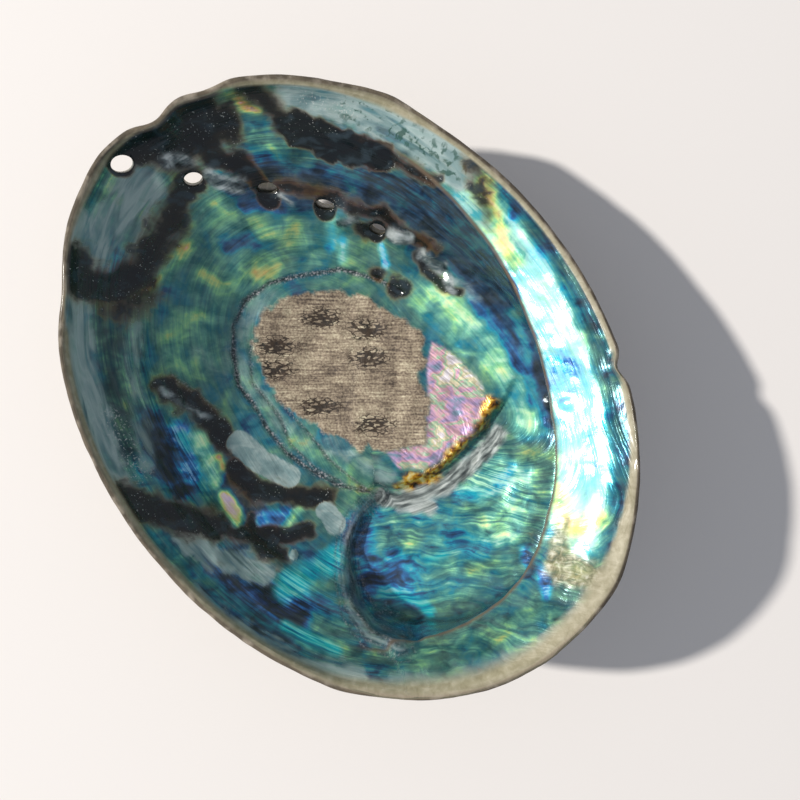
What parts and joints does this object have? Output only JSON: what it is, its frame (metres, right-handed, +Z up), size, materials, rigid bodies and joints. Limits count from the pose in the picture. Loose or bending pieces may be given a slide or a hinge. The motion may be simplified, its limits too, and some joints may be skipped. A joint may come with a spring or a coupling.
{
  "type": "abalone shell",
  "caption": "Oval abalone shell lying on its back like a bowl, with a mother-of-pearl inside, a shelf along one side and a row of pores.",
  "frame": {"origin": "on the ground, under the middle of the shell's outline", "axes": "+Z up, out of the bowl; +X along the length towards the spire end; +Y towards the side with the pore row and the shelf"},
  "size_m": [0.1392, 0.1096, 0.0447],
  "materials": {
    "nacre": "glossy iridescent mother-of-pearl inside, dull crusted back and horn-coloured rim"
  },
  "bodies": {
    "root": {"shell": "nacre"}
  },
  "joints": []
}
